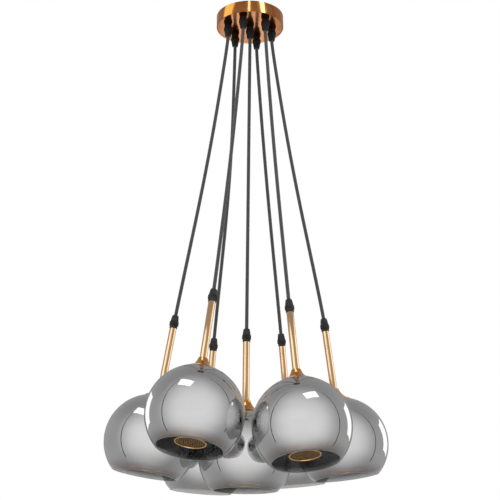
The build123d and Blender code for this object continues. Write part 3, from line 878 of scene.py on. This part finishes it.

# %% [markdown]
# ## Black plastic and braid
# The cord grips are moulded nylon, slightly rough, with a fine spark-eroded grain. Those
# under the canopy are painted a deeper black, as painted shade under the dish. The braid's
# pattern follows the cord: the curve's own UV runs along it and round it, and two sets of
# slanting threads that cross make the weave.

# %% Black plastic
# The canopy's grips get a deeper black than the rod's: painted shade under the dish.
for name, level, pieces in (("black_nylon", 0.022, grips.values()),
                            ("shaded_nylon", 0.007, [ceiling_grips])):
    plastic, start, shader = new_finish(name, {"Specular IOR Level": 0.4})
    grain = noise_on(start, piece_place(start), 2200, detail=2.0)
    scuff = noise_on(start, piece_place(start), 160)
    feed(start, shader,
         Base_Color=scuff.between(0.35, 0.7).mixed(grey(level), grey(level * 2.2)),
         Roughness=0.38 + scuff * 0.25,
         Normal=bump_from(start, grain, 0.0001, 0.6))
    for piece in pieces:
        piece.data.materials.append(plastic)

# %% Black braid
THREADS_ROUND = 12
THREAD_PITCH = 5.2 * MM
CORD_LENGTH = 0.58
braid, start, shader = new_finish("black_braid", {"Sheen Weight": 0.35, "Sheen Roughness": 0.5,
                                                  "Specular IOR Level": 0.3})
weave_uv = start.node("ShaderNodeTexCoord", output="UV")
split = start.node("ShaderNodeSeparateXYZ", None, {0: weave_uv}).socket.node
along, around = (Wire(start.tree, split.outputs[axis]) for axis in "XY")
turns = along * (CORD_LENGTH / THREAD_PITCH * 2 * pi)
threads = around * (THREADS_ROUND * 2 * pi)
right_hand = start.maths("SINE", threads + turns * (THREADS_ROUND / 4))
left_hand = start.maths("SINE", threads - turns * (THREADS_ROUND / 4))
weave = start.maths("MAXIMUM", right_hand, left_hand)
feed(start, shader,
     Base_Color=weave.between(-0.2, 1.0).mixed(grey(0.03), grey(0.11)),
     Roughness=0.9 - weave * 0.15,
     Normal=bump_from(start, weave, 0.0003, 0.6))
for piece in cords.values():
    piece.data.materials.append(braid)

# %% [markdown]
# ## What is hidden
# The bulbs, the lamp holders, the bracket and the fittings in the canopy hardly show, but a
# view from below or from above finds them. The bulb is amber glass on a steel screw base. The
# CAD pieces keep their own shapes and get plastic and steel. Their patterns read Object
# coordinates, because these meshes have no place of their own.

# %% Bulb, holder, bracket and fittings
amber, start, shader = new_finish("amber_glass", {"Roughness": 0.05, "Alpha": 0.55,
                                                  "Coat Weight": 0.5})
cloud = noise_on(start, piece_place(start), 30)
feed(start, shader, Base_Color=cloud.between(0.2, 0.8).mixed(colour(0.20, 0.09, 0.02),
                                                             colour(0.34, 0.17, 0.05)))
screw_steel, start, shader = new_finish("screw_steel", {"Metallic": 1.0})
scratch = noise_on(start, turned_place(start), 1500)
feed(start, shader, Base_Color=scratch.mixed(grey(0.55), grey(0.72)),
     Roughness=0.2 + scratch * 0.2)
for piece in bulbs.values():
    piece.data.materials.append(amber)
    piece.data.materials.append(screw_steel)


def object_place(start):
    return start.node("ShaderNodeTexCoord", output="Object")


def dress(node, material):
    """Give a CAD node one finish."""
    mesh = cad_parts[node].data
    mesh.materials.clear()
    mesh.materials.append(material)


holder, start, shader = new_finish("holder_plastic", {"Specular IOR Level": 0.45})
scuff = noise_on(start, object_place(start), 120)
feed(start, shader, Base_Color=scuff.mixed(grey(0.02), grey(0.045)),
     Roughness=0.35 + scuff * 0.2,
     Normal=bump_from(start, noise_on(start, object_place(start), 1500), 0.00005, 0.4))
for name in PENDANTS:
    dress("lampholder_" + name, holder)

steel, start, shader = new_finish("zinc_steel", {"Metallic": 1.0})
crystal = start.node("ShaderNodeTexVoronoi", None, {"Vector": object_place(start),
                                                    "Scale": 260.0})
cloud = noise_on(start, object_place(start), 90)
feed(start, shader, Base_Color=(crystal * 0.5 + cloud * 0.5).mixed(grey(0.45), grey(0.70)),
     Roughness=0.28 + cloud * 0.2,
     Normal=bump_from(start, cloud, 0.00005, 0.3))
dress("ceiling_bracket", steel)

fittings, start, shader = new_finish("canopy_fittings", {})
split = start.node("ShaderNodeSeparateXYZ", None, {0: object_place(start)}).socket.node
x, y, z = (Wire(start.tree, split.outputs[axis]) for axis in "XYZ")
is_screw = start.maths("GREATER_THAN", start.maths("ABSOLUTE", x), 0.051)
in_block = (start.maths("GREATER_THAN", y, 0.0164) * start.maths("LESS_THAN", y, 0.0316)
            * start.maths("LESS_THAN", start.maths("ABSOLUTE", x - 0.002), 0.0151)
            * start.maths("GREATER_THAN", z, -0.0126))
cloud = noise_on(start, object_place(start), 80)
wire_or_block = in_block.mixed(grey(0.03), colour(0.78, 0.77, 0.74))
feed(start, shader,
     Base_Color=is_screw.mixed(wire_or_block, colour(0.60, 0.25, 0.09)),
     Metallic=is_screw,
     Roughness=0.5 - is_screw * 0.28 + cloud * 0.1)
dress("canopy_fittings", fittings)
print("materials", len(bpy.data.materials))

# %% [markdown]
# ## Room and background
# The picture's ground is white and the object hangs in the air. The world is white to the
# camera and to light that passes through glass. What lights the object and what its gloss
# shows is a plain studio: middle grey walls, with the same white backdrop straight behind it.
# A pale floor lies well below, where a room's would be. It stays out of the reflections,
# where its square edge would show on every globe.

# %% World and floor
ROOM_LEVEL = 0.9
WALL_LEVEL = 0.46
FLOOR_Z = -2.4

world = bpy.data.worlds.new("studio")
world.use_nodes = True
bpy.context.scene.world = world
studio = Wire(world.node_tree)
background = next(node for node in world.node_tree.nodes if node.type == "BACKGROUND")
rays = studio.node("ShaderNodeLightPath").socket.node
is_camera, is_glossy, is_transmitted = (
    Wire(world.node_tree, rays.outputs[kind])
    for kind in ("Is Camera Ray", "Is Glossy Ray", "Is Transmission Ray"))
towards = studio.node("ShaderNodeTexCoord", output="Generated")
split = studio.node("ShaderNodeSeparateXYZ", None, {0: towards}).socket.node
backwards, upwards = (Wire(world.node_tree, split.outputs[axis]) for axis in "YZ")
backdrop = backwards.between(0.93, 0.985)
walls = (WALL_LEVEL + backdrop * (1 - WALL_LEVEL) - upwards.between(0.2, 1.0) * 0.12
         - (upwards * -1).between(0.2, 0.9) * 0.14)
sees_white = studio.maths("MAXIMUM", is_camera, is_transmitted)
level = is_glossy * walls + (1 - is_glossy) * ROOM_LEVEL
strength = sees_white + (1 - sees_white) * level
world.node_tree.links.new(strength.socket, background.inputs["Strength"])
background.inputs["Color"].default_value = grey(1.0)

floor_sheet = bmesh.new()
bmesh.ops.create_grid(floor_sheet, x_segments=1, y_segments=1, size=6,
                      matrix=Matrix.Translation((0, 0, FLOOR_Z)))
floor_mesh = plain_mesh("floor", floor_sheet)
floor = in_scene("floor", floor_mesh)
pale, start, shader = new_finish("pale_floor", {"Base Color": grey(0.88), "Roughness": 0.7})
floor.data.materials.append(pale)
floor.visible_glossy = False

# %% [markdown]
# ## Lamps
# Polished metal and mirror glass look like what stands round them. The real picture was put
# together from shots with different light, so each finish gets its own softboxes through
# light linking: a lamp only reaches the pieces in its collection. The globes see a broad
# glow in front, and the front ones a tall box at their side or a small one above. The rods
# see wide strips, which draw a bright band along either side. The canopy's edge sees three
# narrow ones, and its flat underside sees thin ones behind it, which streak it.

# %% Lamps
CLUSTER_MIDDLE = Vector((0, 0, -0.83))


def collection_of(name, pieces):
    """A group of pieces that a lamp shines on."""
    group = bpy.data.collections.new(name)
    for piece in pieces:
        group.objects.link(piece)
    return group


def softbox(name, aim, azimuth, elevation, distance, width, height, radiance, group,
            tint=(1, 1, 1)):
    """Add a rectangular lamp; azimuth 0 is the camera's side and 90 is the right."""
    turn = radians(azimuth)
    rise = radians(elevation)
    towards_lamp = Vector((sin(turn) * cos(rise), -cos(turn) * cos(rise), sin(rise)))
    lamp_data = bpy.data.lights.new(name, "AREA")
    lamp_data.shape = "RECTANGLE"
    lamp_data.size = width
    lamp_data.size_y = height
    lamp_data.energy = radiance * pi * width * height
    lamp_data.color = tint
    lamp = in_scene(name, lamp_data)
    lamp.location = aim + towards_lamp * distance
    lamp.rotation_euler = towards_lamp.to_track_quat("Z", "Y").to_euler()
    lamp.visible_camera = False
    lamp.light_linking.receiver_collection = group
    print(name, "radiance", radiance, "at", [round(value, 2) for value in lamp.location])


all_globes = collection_of("all_globes", globes.values())
right_pair = collection_of("right_pair", [globes["right"], globes["front_right"]])
own_globe = {name: collection_of("only_" + name, [globes[name]])
             for name in ("left", "front_left", "front_right")}
rod_and_cap = collection_of("rod_and_cap", [*rods.values(), *caps.values()])
caps_only = collection_of("caps_only", caps.values())
baskets_only = collection_of("baskets_only", baskets.values())
canopy_only = collection_of("canopy_only", [canopy])

softbox("left_panel", CLUSTER_MIDDLE, -127, 11, 2.0, 0.85, 1.0, 1.15,
        own_globe["front_left"])
softbox("right_panel", CLUSTER_MIDDLE, 127, 11, 2.0, 0.85, 1.0, 1.15, right_pair)
for name, turn in (("left", -46), ("front_left", -36), ("front_right", 36)):
    softbox("top_box_" + name, globe_middles[name], turn, 64, 1.6, 0.72, 0.42, 1.3,
            own_globe[name])
ROD_MIDDLE = Vector((0, 0, -0.62))
softbox("rod_strip_left", ROD_MIDDLE, -42, 12, 2.0, 2.2, 1.6, 1.2, rod_and_cap,
        (0.8, 1.0, 1.15))
softbox("rod_strip_right", ROD_MIDDLE, 92, 12, 2.0, 2.0, 1.6, 1.2, rod_and_cap,
        (0.8, 1.0, 1.15))
softbox("basket_box", CLUSTER_MIDDLE, 0, -42, 1.8, 1.8, 1.0, 1.8, baskets_only)
softbox("cap_box", Vector((0, 0, -0.74)), -22, 66, 1.6, 0.5, 0.9, 2.2, caps_only)
CANOPY_MIDDLE = Vector((0, 0, -0.01))
softbox("canopy_strip_left", CANOPY_MIDDLE, -78, 17, 1.5, 0.9, 1.6, 2.2, canopy_only,
        (0.78, 1.0, 0.5))
softbox("canopy_strip_middle", CANOPY_MIDDLE, -3, 17, 1.5, 0.07, 1.6, 14.0, canopy_only,
        (0.6, 0.85, 1.0))
softbox("canopy_strip_right", CANOPY_MIDDLE, 43, 17, 1.5, 0.3, 1.6, 12.0, canopy_only,
        (0.6, 0.9, 1.0))
for turn, width, radiance in ((183.2, 0.035, 0.9), (182.0, 0.012, 2.6), (181.2, 0.010, 2.6),
                              (179.4, 0.010, 2.6), (178.6, 0.012, 2.6), (177.2, 0.016, 1.8)):
    softbox("canopy_streak_" + str(turn), CANOPY_MIDDLE, turn, -28.5, 1.5, width, 1.4, radiance,
            canopy_only, (0.75, 0.8, 1.0))

# %% [markdown]
# The glow in front of the globes has no edge, so it isn't a lamp but a dome: a half sphere of
# see-through light that fades with the angle from the front. It is linked to the globes, only
# their reflections see it, and everything else passes through.

# %% Front glow
GLOW_RADIUS = 3.0
GLOW_LEVEL = 0.58

dome_sheet = bmesh.new()
bmesh.ops.create_icosphere(dome_sheet, subdivisions=3, radius=GLOW_RADIUS,
                           matrix=Matrix.Translation(CLUSTER_MIDDLE))
bmesh.ops.bisect_plane(dome_sheet, geom=dome_sheet.verts[:] + dome_sheet.edges[:]
                       + dome_sheet.faces[:], plane_co=CLUSTER_MIDDLE, plane_no=(0, 1, 0),
                       clear_outer=True)
dome_mesh = plain_mesh("glow_dome", dome_sheet)
dome = in_scene("glow_dome", dome_mesh)
glow_material = bpy.data.materials.new("front_glow")
glow_material.use_nodes = True
glow_material.node_tree.nodes.clear()
start = Wire(glow_material.node_tree)
from_middle = start.node("ShaderNodeVectorMath", {"operation": "SUBTRACT"},
                         {0: object_place(start), 1: tuple(CLUSTER_MIDDLE)})
outwards = start.node("ShaderNodeVectorMath", {"operation": "NORMALIZE"}, {0: from_middle})
front = start.node("ShaderNodeVectorMath", {"operation": "DOT_PRODUCT"},
                   {0: outwards, 1: (0.0, -0.995, 0.1)}, output="Value")
fade = start.maths("POWER", front.between(-0.05, 1.0), 1.15)
glow = start.node("ShaderNodeEmission", None, {"Strength": fade * GLOW_LEVEL})
clear = start.node("ShaderNodeBsdfTransparent")
both = start.node("ShaderNodeAddShader", None, {0: glow, 1: clear})
start.node("ShaderNodeOutputMaterial", None, {"Surface": both})
glow_material.cycles.emission_sampling = "NONE"
dome_mesh.materials.append(glow_material)
for kind in ("camera", "diffuse", "transmission", "volume_scatter", "shadow"):
    setattr(dome, "visible_" + kind, False)
dome.light_linking.receiver_collection = all_globes

# %% [markdown]
# Two slim dark uprights stand at the sides of the studio. Only reflections see them: they
# draw the thin dark arcs that run down each globe and make it read as a mirror.

# %% Dark uprights
UPRIGHT_R = 0.045
UPRIGHT_DISTANCE = 2.6
UPRIGHT_TURNS = {"left": -72, "right": 86}

uprights_sheet = bmesh.new()
for turn in UPRIGHT_TURNS.values():
    foot = Vector((sin(radians(turn)), -cos(radians(turn)), 0)) * UPRIGHT_DISTANCE
    bmesh.ops.create_cone(uprights_sheet, cap_ends=True, segments=24, radius1=UPRIGHT_R,
                          radius2=UPRIGHT_R, depth=8.0,
                          matrix=Matrix.Translation(foot + Vector((0, 0, FLOOR_Z + 4.0))))
uprights_mesh = plain_mesh("dark_uprights", uprights_sheet)
uprights = in_scene("dark_uprights", uprights_mesh)
dark, start, shader = new_finish("dark_uprights", {"Base Color": grey(0.01), "Roughness": 0.9})
uprights_mesh.materials.append(dark)
for kind in ("camera", "diffuse", "transmission", "volume_scatter", "shadow"):
    setattr(uprights, "visible_" + kind, False)
print("dark uprights at", list(UPRIGHT_TURNS.values()), "degrees")

# %% [markdown]
# ## Finish
# The view transform is the plain one, so that a colour renders as it is written.

# %% Finish
bpy.context.scene.view_settings.view_transform = "Standard"
